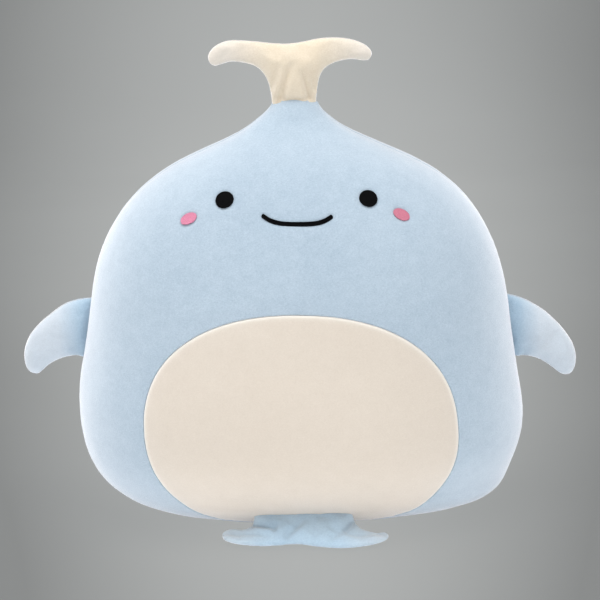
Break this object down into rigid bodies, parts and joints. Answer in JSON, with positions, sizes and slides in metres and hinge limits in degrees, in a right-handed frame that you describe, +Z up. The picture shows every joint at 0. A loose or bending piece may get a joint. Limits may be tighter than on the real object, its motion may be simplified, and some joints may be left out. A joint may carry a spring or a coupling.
{
  "type": "plush whale",
  "caption": "Stuffed toy whale that sits upright: a wide pillow body with a cream belly patch, embroidered face, flippers, a forked spout and a tail fluke, all sewn on at hinge seams.",
  "frame": {"origin": "on the floor under the middle of the body, in the plane of the side seams", "axes": "+Z up, -Y the way the whale faces, +X to the right of someone looking at its face"},
  "size_m": [0.5142, 0.2545, 0.4453],
  "materials": {
    "blue_plush": "short-pile plush, pale blue",
    "pale_blue_plush": "short-pile plush, pale blue, limp",
    "cream_plush": "short-pile plush, cream",
    "black_thread": "satin stitch, black",
    "pink_thread": "satin stitch, pink",
    "polyester_fibre": "loose fibre filling, white"
  },
  "bodies": {
    "body": {"face_panel": "blue_plush", "belly_panel": "cream_plush", "back_panel_left": "blue_plush", "back_panel_right": "blue_plush", "base_panel": "blue_plush", "body_filling": "polyester_fibre", "eye_left": "black_thread", "eye_right": "black_thread", "mouth": "black_thread", "cheek_left": "pink_thread", "cheek_right": "pink_thread"},
    "flipper_left": {"flipper_left_front_panel": "blue_plush", "flipper_left_back_panel": "blue_plush", "flipper_left_filling": "polyester_fibre"},
    "flipper_right": {"flipper_right_front_panel": "blue_plush", "flipper_right_back_panel": "blue_plush", "flipper_right_filling": "polyester_fibre"},
    "spout": {"spout_front_panel": "cream_plush", "spout_back_panel": "cream_plush", "spout_filling": "polyester_fibre"},
    "tail": {"tail_upper_panel": "pale_blue_plush", "tail_lower_panel": "pale_blue_plush", "tail_filling": "polyester_fibre"}
  },
  "joints": [
    {"name": "flipper_left_swing", "type": "hinge", "parent": "body", "child": "flipper_left", "pos_m": [-0.19771, 0, 0.1755], "axis": [0.1392, 0, 0.9903], "range_deg": [-55, 55], "stiffness_Nm_per_rad": 0.08},
    {"name": "flipper_right_swing", "type": "hinge", "parent": "body", "child": "flipper_right", "pos_m": [0.19771, 0, 0.1755], "axis": [-0.1392, 0, 0.9903], "range_deg": [-55, 55], "stiffness_Nm_per_rad": 0.08},
    {"name": "spout_nod", "type": "hinge", "parent": "body", "child": "spout", "pos_m": [0, 0, 0.3874], "axis": [1, 0, 0], "range_deg": [-60, 60], "stiffness_Nm_per_rad": 0.08},
    {"name": "tail_fold", "type": "hinge", "parent": "body", "child": "tail", "pos_m": [0, -0.09281, 0.0205], "axis": [-1, 0, 0], "range_deg": [-60, 40], "stiffness_Nm_per_rad": 0.05}
  ]
}
